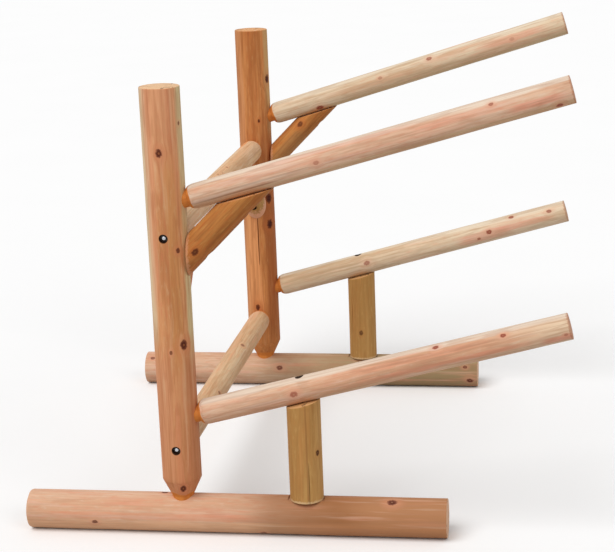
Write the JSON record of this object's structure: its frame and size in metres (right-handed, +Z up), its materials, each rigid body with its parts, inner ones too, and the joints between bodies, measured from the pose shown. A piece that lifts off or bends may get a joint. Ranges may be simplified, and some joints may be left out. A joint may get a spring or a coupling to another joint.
{
  "type": "freestanding kayak rack",
  "caption": "Freestanding kayak rack of peeled cedar logs: posts on base logs, tied by stretchers, with braced arms that slope up to cradle boats laid on edge.",
  "frame": {"origin": "middle of the bounding box's footprint, on the floor", "axes": "+X out along the arms, away from the posts; +Y from the front end frame to the rear one, along a stored boat; +Z up"},
  "size_m": [1.572, 1.451, 1.3209],
  "materials": {
    "post_cedar": "hand-peeled cedar, dry, no varnish",
    "base_cedar": "hand-peeled cedar, dry, no varnish",
    "upper_arm_cedar": "hand-peeled cedar, dry, no varnish",
    "lower_arm_cedar": "hand-peeled cedar, dry, no varnish",
    "stretcher_cedar": "hand-peeled cedar, dry, no varnish",
    "brace_cedar": "hand-peeled cedar, dry, no varnish",
    "strut_cedar": "hand-peeled cedar, dry, no varnish",
    "zinc_steel": "zinc-plated"
  },
  "bodies": {
    "root": {"front_base_log": "base_cedar", "front_post": "post_cedar", "upper_front_arm": "upper_arm_cedar", "lower_front_arm": "lower_arm_cedar", "front_arm_brace": "brace_cedar", "front_stretcher_brace": "brace_cedar", "front_arm_strut": "strut_cedar", "upper_front_arm_lag": "zinc_steel", "upper_front_arm_washer": "zinc_steel", "lower_front_arm_lag": "zinc_steel", "lower_front_arm_washer": "zinc_steel", "front_upper_stretcher_lag": "zinc_steel", "front_upper_stretcher_washer": "zinc_steel", "front_lower_stretcher_lag": "zinc_steel", "front_lower_stretcher_washer": "zinc_steel", "front_post_lag": "zinc_steel", "front_arm_strut_foot_lag": "zinc_steel", "front_arm_strut_top_lag": "zinc_steel", "front_arm_brace_foot_lag": "zinc_steel", "front_arm_brace_top_lag": "zinc_steel", "front_stretcher_brace_foot_lag": "zinc_steel", "front_stretcher_brace_top_lag": "zinc_steel", "rear_base_log": "base_cedar", "rear_post": "post_cedar", "upper_rear_arm": "upper_arm_cedar", "lower_rear_arm": "lower_arm_cedar", "rear_arm_brace": "brace_cedar", "rear_stretcher_brace": "brace_cedar", "rear_arm_strut": "strut_cedar", "upper_rear_arm_lag": "zinc_steel", "upper_rear_arm_washer": "zinc_steel", "lower_rear_arm_lag": "zinc_steel", "lower_rear_arm_washer": "zinc_steel", "rear_upper_stretcher_lag": "zinc_steel", "rear_upper_stretcher_washer": "zinc_steel", "rear_lower_stretcher_lag": "zinc_steel", "rear_lower_stretcher_washer": "zinc_steel", "rear_post_lag": "zinc_steel", "rear_arm_strut_foot_lag": "zinc_steel", "rear_arm_strut_top_lag": "zinc_steel", "rear_arm_brace_foot_lag": "zinc_steel", "rear_arm_brace_top_lag": "zinc_steel", "rear_stretcher_brace_foot_lag": "zinc_steel", "rear_stretcher_brace_top_lag": "zinc_steel", "upper_stretcher": "stretcher_cedar", "lower_stretcher": "stretcher_cedar"}
  },
  "joints": []
}
